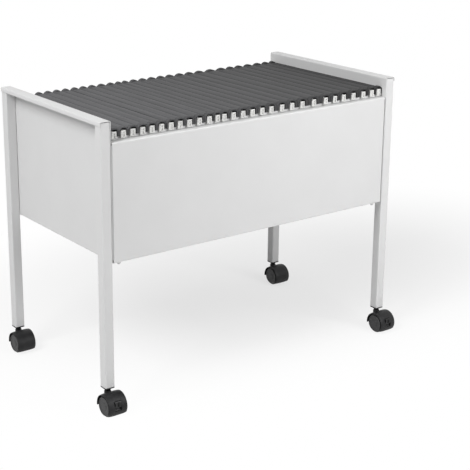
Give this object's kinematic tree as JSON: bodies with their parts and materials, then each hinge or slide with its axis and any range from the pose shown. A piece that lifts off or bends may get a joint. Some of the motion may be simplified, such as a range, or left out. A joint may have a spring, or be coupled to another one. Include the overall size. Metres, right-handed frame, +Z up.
{
  "type": "hanging file trolley",
  "caption": "Light grey sheet-steel file trolley: square legs on twin-wheel casters carry an open well, and linked sections of hanging files rest on its rail lips.",
  "frame": {"origin": "on the floor, at the bottom centre of the whole trolley's bounding box, all casters trailing to -Y", "axes": "+X along the long side to the right as seen from the front, +Y towards the back, +Z up; the pictured front is at -Y"},
  "size_m": [0.796, 0.4434, 0.612],
  "materials": {
    "frame_coat": "light grey powder coat, satin, very fine orange peel",
    "zinc_steel": "zinc plated steel, dull",
    "stem_black": "blackened steel, satin",
    "plug_black": "black nylon, satin",
    "hood_black": "black nylon, satin",
    "wheel_black": "black hard nylon, satin",
    "pedal_black": "black nylon, satin",
    "file_card": "dark grey plastic top strips and matt dark grey card"
  },
  "bodies": {
    "frame": {"caster_stem_front_left": "stem_black", "caster_stem_front_right": "stem_black", "caster_stem_rear_left": "stem_black", "caster_stem_rear_right": "stem_black", "corner_screw_front_left": "zinc_steel", "corner_screw_front_right": "zinc_steel", "corner_screw_rear_left": "zinc_steel", "corner_screw_rear_right": "zinc_steel", "dome_nut_front_left": "zinc_steel", "dome_nut_front_right": "zinc_steel", "dome_nut_rear_left": "zinc_steel", "dome_nut_rear_right": "zinc_steel", "end_panel_left": "frame_coat", "end_panel_right": "frame_coat", "front_panel": "frame_coat", "leg_front_left": "frame_coat", "leg_front_right": "frame_coat", "leg_plug_front_left": "plug_black", "leg_plug_front_right": "plug_black", "leg_plug_rear_left": "plug_black", "leg_plug_rear_right": "plug_black", "leg_rear_left": "frame_coat", "leg_rear_right": "frame_coat", "panel_screw_front_left_lower": "zinc_steel", "panel_screw_front_left_upper": "zinc_steel", "panel_screw_front_right_lower": "zinc_steel", "panel_screw_front_right_upper": "zinc_steel", "panel_screw_rear_left_lower": "zinc_steel", "panel_screw_rear_left_upper": "zinc_steel", "panel_screw_rear_right_lower": "zinc_steel", "panel_screw_rear_right_upper": "zinc_steel", "rear_panel": "frame_coat"},
    "caster_front_left": {"caster_housing_front_left": "hood_black", "caster_axle_front_left": "zinc_steel", "brake_pin_front_left": "zinc_steel"},
    "wheel_front_left_left": {"wheel_front_left_left": "wheel_black"},
    "wheel_front_left_right": {"wheel_front_left_right": "wheel_black"},
    "brake_pedal_front_left": {"brake_pedal_front_left": "pedal_black"},
    "caster_front_right": {"caster_housing_front_right": "hood_black", "caster_axle_front_right": "zinc_steel", "brake_pin_front_right": "zinc_steel"},
    "wheel_front_right_left": {"wheel_front_right_left": "wheel_black"},
    "wheel_front_right_right": {"wheel_front_right_right": "wheel_black"},
    "brake_pedal_front_right": {"brake_pedal_front_right": "pedal_black"},
    "caster_rear_left": {"caster_housing_rear_left": "hood_black", "caster_axle_rear_left": "zinc_steel"},
    "wheel_rear_left_left": {"wheel_rear_left_left": "wheel_black"},
    "wheel_rear_left_right": {"wheel_rear_left_right": "wheel_black"},
    "caster_rear_right": {"caster_housing_rear_right": "hood_black", "caster_axle_rear_right": "zinc_steel"},
    "wheel_rear_right_left": {"wheel_rear_right_left": "wheel_black"},
    "wheel_rear_right_right": {"wheel_rear_right_right": "wheel_black"},
    "file_section_1": {"file_section_1": "file_card"},
    "file_section_2": {"file_section_2": "file_card"},
    "file_section_3": {"file_section_3": "file_card"},
    "file_section_4": {"file_section_4": "file_card"},
    "file_section_5": {"file_section_5": "file_card"}
  },
  "joints": [
    {"name": "swivel_front_left", "type": "hinge", "parent": "frame", "child": "caster_front_left", "pos_m": [-0.3765, -0.17925, 0.0543], "axis": [0, 0, 1], "continuous": true},
    {"name": "roll_front_left_left", "type": "hinge", "parent": "caster_front_left", "child": "wheel_front_left_left", "pos_m": [-0.3765, -0.19575, 0.0225], "axis": [1, 0, 0], "continuous": true},
    {"name": "roll_front_left_right", "type": "hinge", "parent": "caster_front_left", "child": "wheel_front_left_right", "pos_m": [-0.3765, -0.19575, 0.0225], "axis": [1, 0, 0], "continuous": true},
    {"name": "brake_front_left", "type": "hinge", "parent": "caster_front_left", "child": "brake_pedal_front_left", "pos_m": [-0.3765, -0.20875, 0.0305], "axis": [1, 0, 0], "range_deg": [0, 14]},
    {"name": "swivel_front_right", "type": "hinge", "parent": "frame", "child": "caster_front_right", "pos_m": [0.3765, -0.17925, 0.0543], "axis": [0, 0, 1], "continuous": true},
    {"name": "roll_front_right_left", "type": "hinge", "parent": "caster_front_right", "child": "wheel_front_right_left", "pos_m": [0.3765, -0.19575, 0.0225], "axis": [1, 0, 0], "continuous": true},
    {"name": "roll_front_right_right", "type": "hinge", "parent": "caster_front_right", "child": "wheel_front_right_right", "pos_m": [0.3765, -0.19575, 0.0225], "axis": [1, 0, 0], "continuous": true},
    {"name": "brake_front_right", "type": "hinge", "parent": "caster_front_right", "child": "brake_pedal_front_right", "pos_m": [0.3765, -0.20875, 0.0305], "axis": [1, 0, 0], "range_deg": [0, 14]},
    {"name": "swivel_rear_left", "type": "hinge", "parent": "frame", "child": "caster_rear_left", "pos_m": [-0.3765, 0.21075, 0.0543], "axis": [0, 0, 1], "continuous": true},
    {"name": "roll_rear_left_left", "type": "hinge", "parent": "caster_rear_left", "child": "wheel_rear_left_left", "pos_m": [-0.3765, 0.19425, 0.0225], "axis": [1, 0, 0], "continuous": true},
    {"name": "roll_rear_left_right", "type": "hinge", "parent": "caster_rear_left", "child": "wheel_rear_left_right", "pos_m": [-0.3765, 0.19425, 0.0225], "axis": [1, 0, 0], "continuous": true},
    {"name": "swivel_rear_right", "type": "hinge", "parent": "frame", "child": "caster_rear_right", "pos_m": [0.3765, 0.21075, 0.0543], "axis": [0, 0, 1], "continuous": true},
    {"name": "roll_rear_right_left", "type": "hinge", "parent": "caster_rear_right", "child": "wheel_rear_right_left", "pos_m": [0.3765, 0.19425, 0.0225], "axis": [1, 0, 0], "continuous": true},
    {"name": "roll_rear_right_right", "type": "hinge", "parent": "caster_rear_right", "child": "wheel_rear_right_right", "pos_m": [0.3765, 0.19425, 0.0225], "axis": [1, 0, 0], "continuous": true},
    {"name": "lift_file_section_1", "type": "slide", "parent": "frame", "child": "file_section_1", "axis": [0, 0, 1], "range_m": [0, 0.25]},
    {"name": "lift_file_section_2", "type": "slide", "parent": "frame", "child": "file_section_2", "axis": [0, 0, 1], "range_m": [0, 0.25]},
    {"name": "lift_file_section_3", "type": "slide", "parent": "frame", "child": "file_section_3", "axis": [0, 0, 1], "range_m": [0, 0.25]},
    {"name": "lift_file_section_4", "type": "slide", "parent": "frame", "child": "file_section_4", "axis": [0, 0, 1], "range_m": [0, 0.25]},
    {"name": "lift_file_section_5", "type": "slide", "parent": "frame", "child": "file_section_5", "axis": [0, 0, 1], "range_m": [0, 0.25]}
  ]
}
